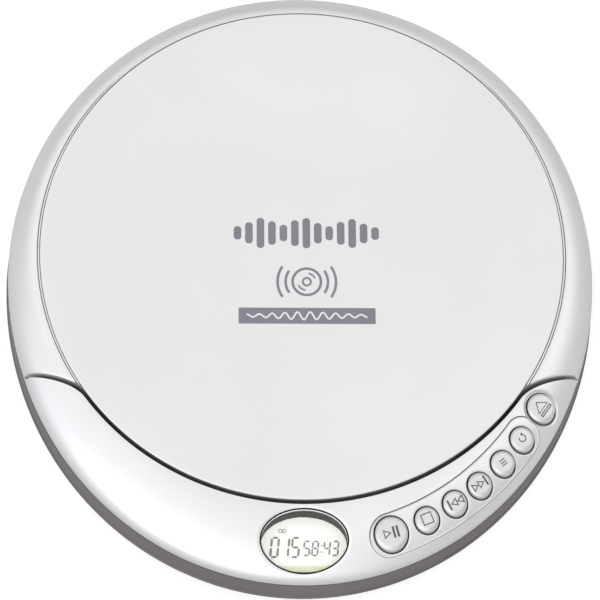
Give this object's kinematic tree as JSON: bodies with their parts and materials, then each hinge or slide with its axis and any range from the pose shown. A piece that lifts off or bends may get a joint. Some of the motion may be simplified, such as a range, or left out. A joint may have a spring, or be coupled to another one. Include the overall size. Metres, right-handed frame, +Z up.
{
  "type": "portable compact disc player",
  "caption": "Round portable disc player with hinged lid, crescent control panel, oval display and round buttons.",
  "frame": {"origin": "centre of the bounding box on the surface the feet stand on", "axes": "+X to the right seen from the front, -Y out of the front edge with the control panel, +Z up"},
  "size_m": [0.1418, 0.1508, 0.0264],
  "materials": {
    "silver_plastic": "satin silver",
    "lid_plate_finish": "fine satin",
    "dark_case_plastic": "satin",
    "deck_plastic": "fine texture",
    "liner_plastic": "satin",
    "button_silver": "satin silver",
    "clear_window": "clear",
    "display_glass": "reflective display",
    "circuit_board": "solder mask",
    "chip_black": "moulded",
    "steel": "plain",
    "contact_metal": "plated",
    "rubber": "matt",
    "keypad_silicone": "matt",
    "hub_plastic": "smooth",
    "lens_glass": "coated",
    "cell_wrap": "printed sleeve"
  },
  "bodies": {
    "case": {"battery_front": "cell_wrap", "battery_rear": "cell_wrap", "bottom_cover": "dark_case_plastic", "capacitor_a": "steel", "capacitor_b": "steel", "case_band": "dark_case_plastic", "case_screw_1": "steel", "case_screw_2": "steel", "case_screw_3": "steel", "case_screw_4": "steel", "contact_plate_front": "contact_metal", "contact_plate_rear": "contact_metal", "contact_spring_front": "steel", "contact_spring_rear": "steel", "dc_jack": "chip_black", "driver_chip": "chip_black", "feed_motor": "steel", "foot_1": "rubber", "foot_2": "rubber", "foot_3": "rubber", "foot_4": "rubber", "front_panel": "silver_plastic", "guide_rod_left": "steel", "guide_rod_right": "steel", "headphone_jack": "chip_black", "hinge_pin": "steel", "keypad_board": "circuit_board", "keypad_mat": "keypad_silicone", "lcd_module": "display_glass", "lcd_window": "clear_window", "lid_switch": "chip_black", "main_board": "circuit_board", "main_chip": "chip_black", "mech_chassis": "steel", "memory_chip": "chip_black", "spindle_motor": "steel", "well_deck": "deck_plastic"},
    "lid": {"lid_shell": "silver_plastic", "lid_plate": "lid_plate_finish", "lid_liner": "liner_plastic"},
    "spindle": {"spindle_hub": "hub_plastic", "clamp_ball_1": "steel", "clamp_ball_2": "steel", "clamp_ball_3": "steel"},
    "pickup": {"pickup_sled": "hub_plastic", "pickup_lens": "lens_glass"},
    "feed": {"feed_screw": "contact_metal"},
    "latch": {"eject_latch": "hub_plastic"},
    "battery_door": {"battery_door": "dark_case_plastic"},
    "volume_wheel": {"volume_wheel": "chip_black"},
    "hold_switch": {"hold_switch": "chip_black"},
    "button_play": {"button_play": "button_silver"},
    "button_stop": {"button_stop": "button_silver"},
    "button_previous": {"button_previous": "button_silver"},
    "button_next": {"button_next": "button_silver"},
    "button_list": {"button_list": "button_silver"},
    "button_mode": {"button_mode": "button_silver"},
    "button_eject": {"button_eject": "button_silver"}
  },
  "joints": [
    {"name": "lid_hinge", "type": "hinge", "parent": "case", "child": "lid", "pos_m": [0, 0.073, 0.0156], "axis": [-1, 0, 0], "range_deg": [0, 78]},
    {"name": "spindle_spin", "type": "hinge", "parent": "case", "child": "spindle", "pos_m": [0, 0.0051, 0.0194], "axis": [0, 0, 1], "continuous": true},
    {"name": "feed_turn", "type": "hinge", "parent": "case", "child": "feed", "pos_m": [-0.0214, -0.02, 0.011], "axis": [0, 1, 0], "range_deg": [0, 4200]},
    {"name": "pickup_slide", "type": "slide", "parent": "case", "child": "pickup", "axis": [0, -1, 0], "range_m": [0, 0.035]},
    {"name": "latch_slide", "type": "slide", "parent": "case", "child": "latch", "axis": [0.7986, -0.6018, 0], "range_m": [0, 0.0016]},
    {"name": "battery_door_hinge", "type": "hinge", "parent": "case", "child": "battery_door", "pos_m": [0, 0.027, 0.00135], "axis": [-1, 0, 0], "range_deg": [0, 95]},
    {"name": "volume_turn", "type": "hinge", "parent": "case", "child": "volume_wheel", "pos_m": [0.062, 0.0145, 0.011], "axis": [0, 0, 1], "range_deg": [-140, 140]},
    {"name": "hold_slide", "type": "slide", "parent": "case", "child": "hold_switch", "axis": [0, 1, 0], "range_m": [0, 0.003]},
    {"name": "button_play_press", "type": "slide", "parent": "case", "child": "button_play", "axis": [0, 0, -1], "range_m": [0, 0.0008], "stiffness_N_per_m": 400},
    {"name": "button_stop_press", "type": "slide", "parent": "case", "child": "button_stop", "axis": [0, 0, -1], "range_m": [0, 0.0008], "stiffness_N_per_m": 400},
    {"name": "button_previous_press", "type": "slide", "parent": "case", "child": "button_previous", "axis": [0, 0, -1], "range_m": [0, 0.0008], "stiffness_N_per_m": 400},
    {"name": "button_next_press", "type": "slide", "parent": "case", "child": "button_next", "axis": [0, 0, -1], "range_m": [0, 0.0008], "stiffness_N_per_m": 400},
    {"name": "button_list_press", "type": "slide", "parent": "case", "child": "button_list", "axis": [0, 0, -1], "range_m": [0, 0.0008], "stiffness_N_per_m": 400},
    {"name": "button_mode_press", "type": "slide", "parent": "case", "child": "button_mode", "axis": [0, 0, -1], "range_m": [0, 0.0008], "stiffness_N_per_m": 400},
    {"name": "button_eject_press", "type": "slide", "parent": "case", "child": "button_eject", "axis": [0, 0, -1], "range_m": [0, 0.0008], "stiffness_N_per_m": 400}
  ],
  "couplings": [
    {"joint": "feed_turn", "follows": "pickup_slide", "rad_per_m": 2094.4},
    {"joint": "latch_slide", "follows": "button_eject_press", "ratio": 2}
  ]
}
